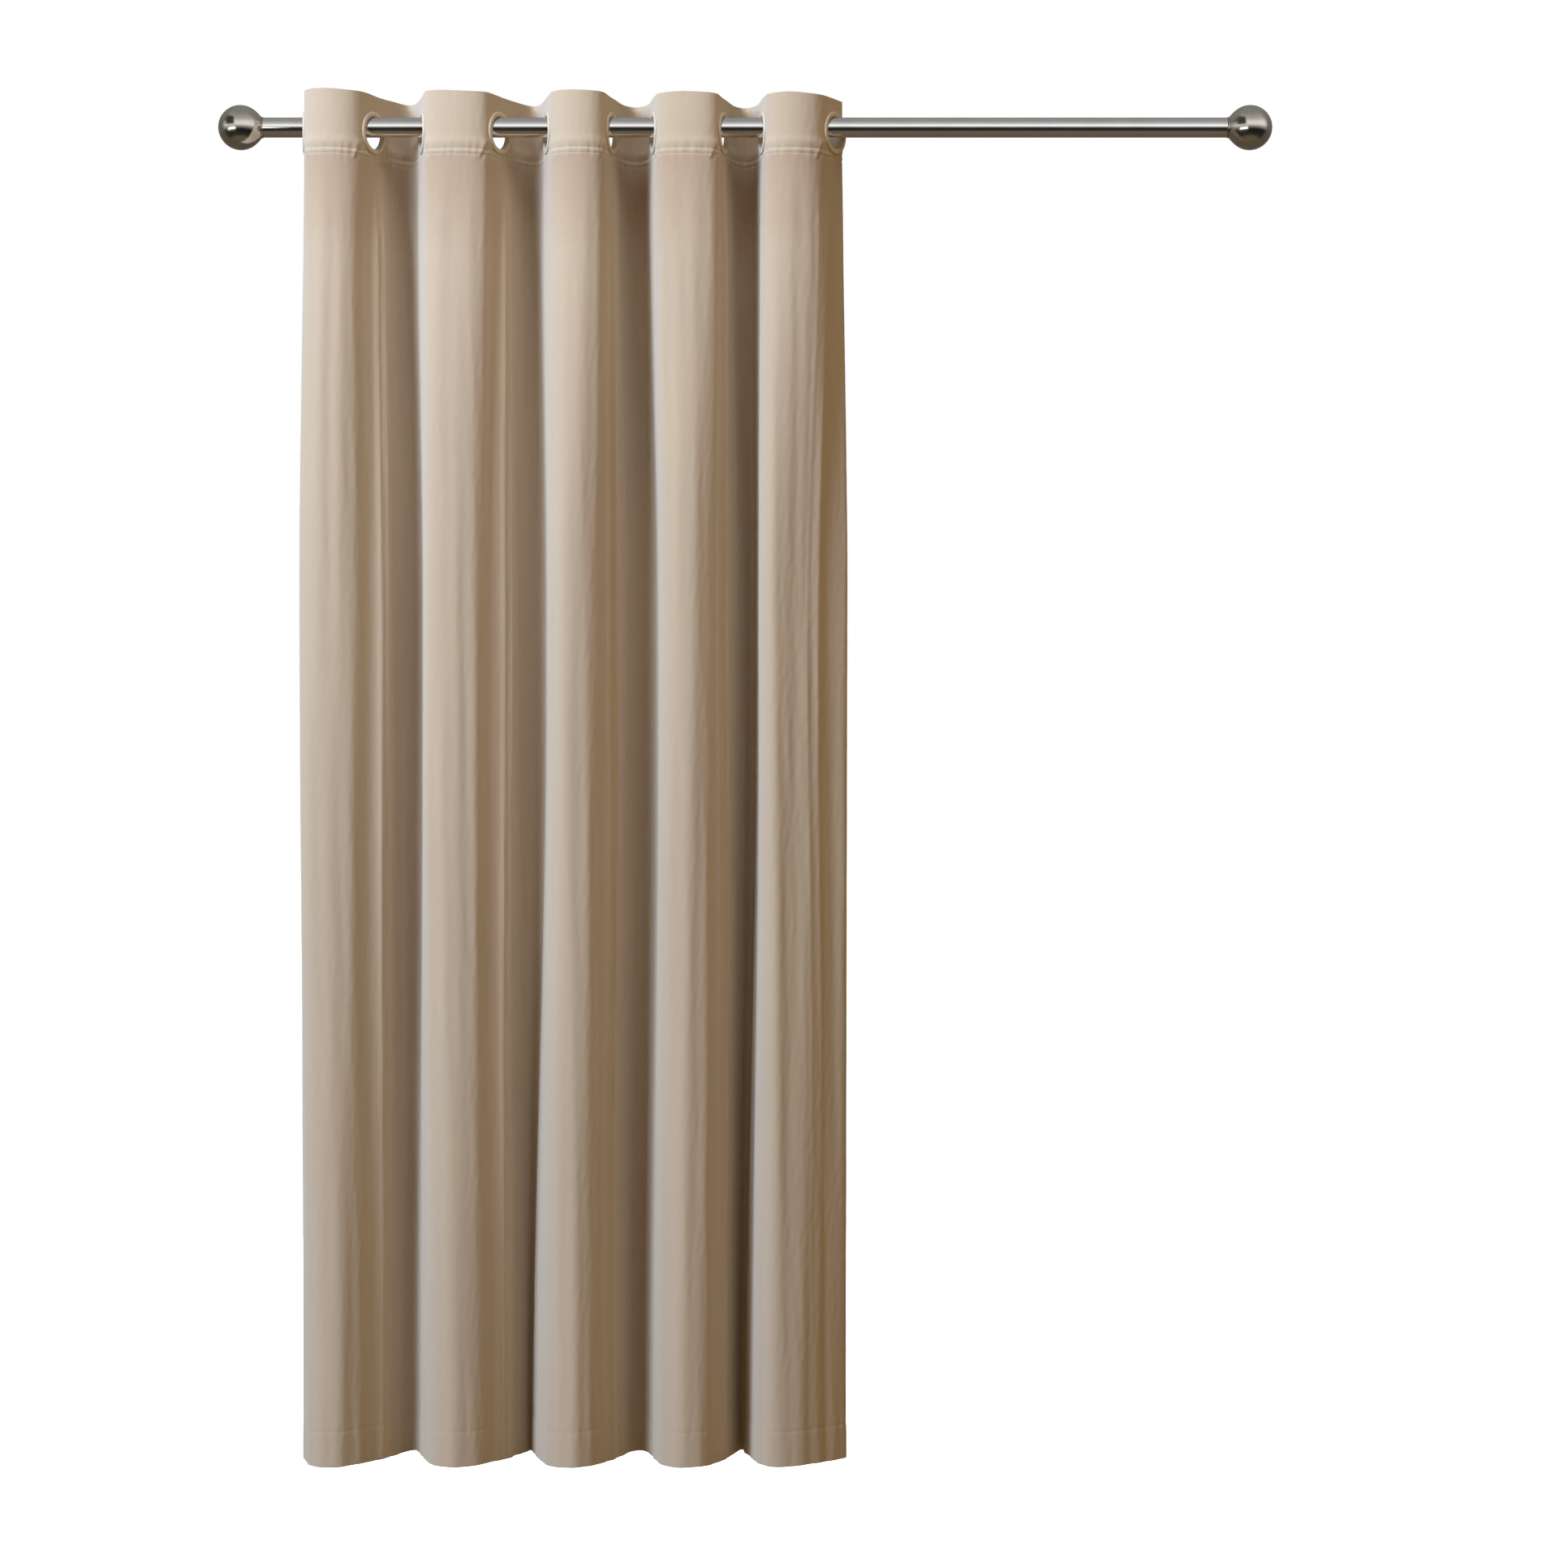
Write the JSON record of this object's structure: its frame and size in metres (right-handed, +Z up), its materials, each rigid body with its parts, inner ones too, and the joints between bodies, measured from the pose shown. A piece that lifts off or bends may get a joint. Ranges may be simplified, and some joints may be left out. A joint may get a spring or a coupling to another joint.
{
  "type": "eyelet curtain on pole",
  "caption": "Gathered velvet eyelet curtain panel hanging in deep wave pleats from a round metal pole with screw-on ball finials.",
  "frame": {"origin": "on the pole's axis, midway between the two finials", "axes": "+X along the pole to the viewer's right, +Y from the room towards the wall, +Z up"},
  "size_m": [1.35, 0.1149, 1.745],
  "materials": {
    "velvet": "champagne taupe polyester velvet, short pile with a soft sheen",
    "heading_tape": "stiff woven eyelet tape sewn behind the heading",
    "eyelet_plastic": "satin beige moulded snap ring, matched to the cloth",
    "pole_nickel": "polished nickel-plated steel tube",
    "finial_nickel": "polished nickel-plated spun steel",
    "stud_steel": "zinc-plated screw thread",
    "insert_nylon": "black moulded nylon plug"
  },
  "bodies": {
    "pole": {"pole_tube": "pole_nickel", "left_pole_insert": "insert_nylon", "right_pole_insert": "insert_nylon"},
    "eyelet_01": {"eyelet_01_front_ring": "eyelet_plastic", "eyelet_01_back_ring": "eyelet_plastic", "left_return_cloth": "velvet", "left_return_tape": "heading_tape", "front_fold_1_cloth": "velvet", "front_fold_1_tape": "heading_tape"},
    "eyelet_02": {"eyelet_02_front_ring": "eyelet_plastic", "eyelet_02_back_ring": "eyelet_plastic", "back_fold_1_cloth": "velvet", "back_fold_1_tape": "heading_tape"},
    "eyelet_03": {"eyelet_03_front_ring": "eyelet_plastic", "eyelet_03_back_ring": "eyelet_plastic", "front_fold_2_cloth": "velvet", "front_fold_2_tape": "heading_tape"},
    "eyelet_04": {"eyelet_04_front_ring": "eyelet_plastic", "eyelet_04_back_ring": "eyelet_plastic", "back_fold_2_cloth": "velvet", "back_fold_2_tape": "heading_tape"},
    "eyelet_05": {"eyelet_05_front_ring": "eyelet_plastic", "eyelet_05_back_ring": "eyelet_plastic", "front_fold_3_cloth": "velvet", "front_fold_3_tape": "heading_tape"},
    "eyelet_06": {"eyelet_06_front_ring": "eyelet_plastic", "eyelet_06_back_ring": "eyelet_plastic", "back_fold_3_cloth": "velvet", "back_fold_3_tape": "heading_tape"},
    "eyelet_07": {"eyelet_07_front_ring": "eyelet_plastic", "eyelet_07_back_ring": "eyelet_plastic", "front_fold_4_cloth": "velvet", "front_fold_4_tape": "heading_tape"},
    "eyelet_08": {"eyelet_08_front_ring": "eyelet_plastic", "eyelet_08_back_ring": "eyelet_plastic", "back_fold_4_cloth": "velvet", "back_fold_4_tape": "heading_tape"},
    "eyelet_09": {"eyelet_09_front_ring": "eyelet_plastic", "eyelet_09_back_ring": "eyelet_plastic", "front_fold_5_cloth": "velvet", "front_fold_5_tape": "heading_tape"},
    "eyelet_10": {"eyelet_10_front_ring": "eyelet_plastic", "eyelet_10_back_ring": "eyelet_plastic", "right_return_cloth": "velvet", "right_return_tape": "heading_tape"},
    "left_finial_travel": {"left_finial_collar": "finial_nickel"},
    "left_finial": {"left_finial_ball": "finial_nickel", "left_finial_stud": "stud_steel"},
    "right_finial_travel": {"right_finial_collar": "finial_nickel"},
    "right_finial": {"right_finial_ball": "finial_nickel", "right_finial_stud": "stud_steel"}
  },
  "joints": [
    {"name": "curtain_slide", "type": "slide", "parent": "pole", "child": "eyelet_01", "axis": [1, 0, 0], "range_m": [-0.03, 0.12]},
    {"name": "pleat_1_width", "type": "slide", "parent": "eyelet_01", "child": "eyelet_02", "axis": [1, 0, 0], "range_m": [-0.0331, 0.0391], "deforming": ["front_fold_1_cloth", "front_fold_1_tape"]},
    {"name": "pleat_2_width", "type": "slide", "parent": "eyelet_02", "child": "eyelet_03", "axis": [1, 0, 0], "range_m": [-0.0244, 0.0288], "deforming": ["back_fold_1_cloth", "back_fold_1_tape"]},
    {"name": "pleat_3_width", "type": "slide", "parent": "eyelet_03", "child": "eyelet_04", "axis": [1, 0, 0], "range_m": [-0.0378, 0.0446], "deforming": ["front_fold_2_cloth", "front_fold_2_tape"]},
    {"name": "pleat_4_width", "type": "slide", "parent": "eyelet_04", "child": "eyelet_05", "axis": [1, 0, 0], "range_m": [-0.0241, 0.0284], "deforming": ["back_fold_2_cloth", "back_fold_2_tape"]},
    {"name": "pleat_5_width", "type": "slide", "parent": "eyelet_05", "child": "eyelet_06", "axis": [1, 0, 0], "range_m": [-0.0315, 0.0372], "deforming": ["front_fold_3_cloth", "front_fold_3_tape"]},
    {"name": "pleat_6_width", "type": "slide", "parent": "eyelet_06", "child": "eyelet_07", "axis": [1, 0, 0], "range_m": [-0.0214, 0.0252], "deforming": ["back_fold_3_cloth", "back_fold_3_tape"]},
    {"name": "pleat_7_width", "type": "slide", "parent": "eyelet_07", "child": "eyelet_08", "axis": [1, 0, 0], "range_m": [-0.0341, 0.0403], "deforming": ["front_fold_4_cloth", "front_fold_4_tape"]},
    {"name": "pleat_8_width", "type": "slide", "parent": "eyelet_08", "child": "eyelet_09", "axis": [1, 0, 0], "range_m": [-0.0199, 0.0235], "deforming": ["back_fold_4_cloth", "back_fold_4_tape"]},
    {"name": "pleat_9_width", "type": "slide", "parent": "eyelet_09", "child": "eyelet_10", "axis": [1, 0, 0], "range_m": [-0.0353, 0.0417], "deforming": ["front_fold_5_cloth", "front_fold_5_tape"]},
    {"name": "left_finial_travel", "type": "slide", "parent": "pole", "child": "left_finial_travel", "axis": [-1, 0, 0], "range_m": [0, 0.0155]},
    {"name": "left_finial_unscrew", "type": "hinge", "parent": "left_finial_travel", "child": "left_finial", "pos_m": [-0.617, 0, 0], "axis": [-1, 0, 0], "range_deg": [0, 4320]},
    {"name": "right_finial_travel", "type": "slide", "parent": "pole", "child": "right_finial_travel", "axis": [1, 0, 0], "range_m": [0, 0.0155]},
    {"name": "right_finial_unscrew", "type": "hinge", "parent": "right_finial_travel", "child": "right_finial", "pos_m": [0.617, 0, 0], "axis": [1, 0, 0], "range_deg": [0, 4320]}
  ],
  "couplings": [
    {"joint": "pleat_2_width", "follows": "pleat_1_width", "ratio": 0.72379},
    {"joint": "pleat_3_width", "follows": "pleat_1_width", "ratio": 1.127},
    {"joint": "pleat_4_width", "follows": "pleat_1_width", "ratio": 0.71328},
    {"joint": "pleat_5_width", "follows": "pleat_1_width", "ratio": 0.93665},
    {"joint": "pleat_6_width", "follows": "pleat_1_width", "ratio": 0.63178},
    {"joint": "pleat_7_width", "follows": "pleat_1_width", "ratio": 1.0177},
    {"joint": "pleat_8_width", "follows": "pleat_1_width", "ratio": 0.58651},
    {"joint": "pleat_9_width", "follows": "pleat_1_width", "ratio": 1.0515},
    {"joint": "left_finial_travel", "follows": "left_finial_unscrew", "m_per_rad": 0.00019894},
    {"joint": "right_finial_travel", "follows": "right_finial_unscrew", "m_per_rad": 0.00019894}
  ]
}
